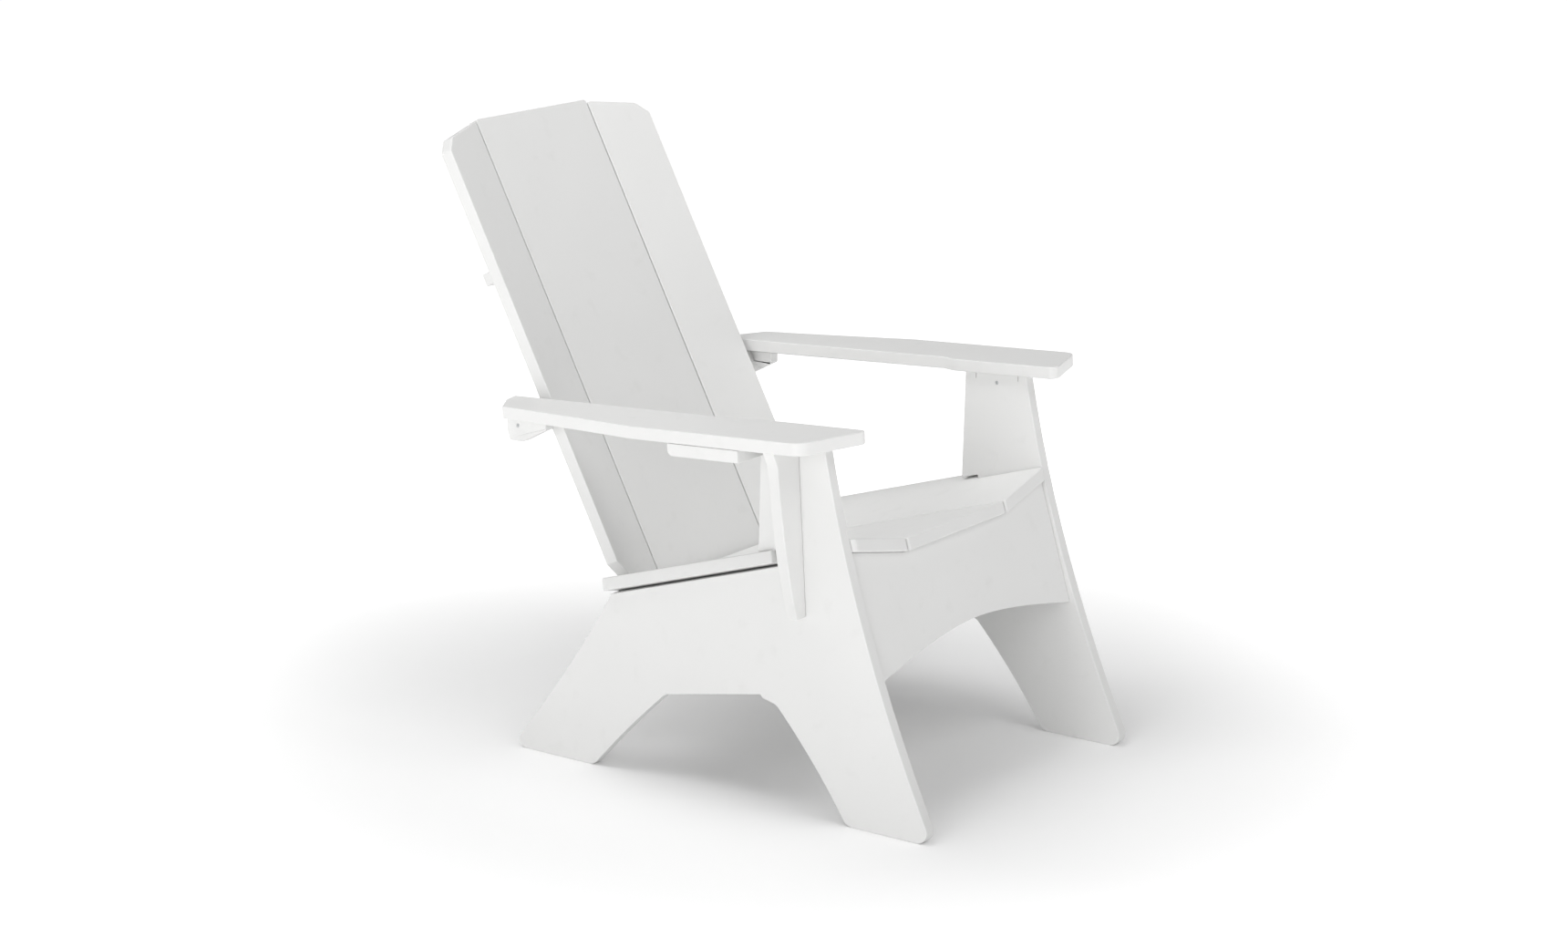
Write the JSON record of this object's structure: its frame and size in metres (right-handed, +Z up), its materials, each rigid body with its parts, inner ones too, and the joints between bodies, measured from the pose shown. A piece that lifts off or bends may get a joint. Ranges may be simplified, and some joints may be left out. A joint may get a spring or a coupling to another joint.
{
  "type": "adirondack chair",
  "caption": "White adirondack chair cut from flat sheet, with a dished three-board seat, a winged three-board back, wide flat arms and flared leg panels.",
  "frame": {"origin": "centre of the chair's footprint box, on the floor", "axes": "+Z up, -Y towards the sitter's front, +X towards the sitter's left, across the chair"},
  "size_m": [0.742, 0.9612, 0.9465],
  "materials": {
    "white_sheet": "satin, eased edges",
    "stainless_screw": "brushed"
  },
  "bodies": {
    "root": {"arm_block_right": "white_sheet", "arm_bracket_left": "white_sheet", "arm_bracket_right": "white_sheet", "arm_gusset_left": "white_sheet", "arm_gusset_right": "white_sheet", "arm_left": "white_sheet", "arm_right": "white_sheet", "back_board_centre": "white_sheet", "back_board_left": "white_sheet", "back_board_right": "white_sheet", "block_screw_right_front": "stainless_screw", "block_screw_right_rear": "stainless_screw", "bracket_screw_left": "stainless_screw", "bracket_screw_right": "stainless_screw", "front_apron": "white_sheet", "front_leg_left": "white_sheet", "front_leg_right": "white_sheet", "gusset_screw_left_lower": "stainless_screw", "gusset_screw_left_upper": "stainless_screw", "gusset_screw_right_lower": "stainless_screw", "gusset_screw_right_upper": "stainless_screw", "lower_back_rib": "white_sheet", "lower_rib_screw_left_inner": "stainless_screw", "lower_rib_screw_left_outer": "stainless_screw", "lower_rib_screw_right_inner": "stainless_screw", "lower_rib_screw_right_outer": "stainless_screw", "rail_screw_left_front_inner": "stainless_screw", "rail_screw_left_front_outer": "stainless_screw", "rail_screw_left_rear_inner": "stainless_screw", "rail_screw_left_rear_outer": "stainless_screw", "rail_screw_right_front_inner": "stainless_screw", "rail_screw_right_front_outer": "stainless_screw", "rail_screw_right_rear_inner": "stainless_screw", "rail_screw_right_rear_outer": "stainless_screw", "rear_leg_left": "white_sheet", "rear_leg_right": "white_sheet", "rear_seat_rail": "white_sheet", "seat_board_centre": "white_sheet", "seat_board_left": "white_sheet", "seat_board_right": "white_sheet", "side_rail_left": "white_sheet", "side_rail_right": "white_sheet", "tail_screw_left": "stainless_screw", "tail_screw_right": "stainless_screw", "upper_back_rib": "white_sheet", "upper_rib_screw_left_inner": "stainless_screw", "upper_rib_screw_left_outer": "stainless_screw", "upper_rib_screw_right_inner": "stainless_screw", "upper_rib_screw_right_outer": "stainless_screw"}
  },
  "joints": []
}
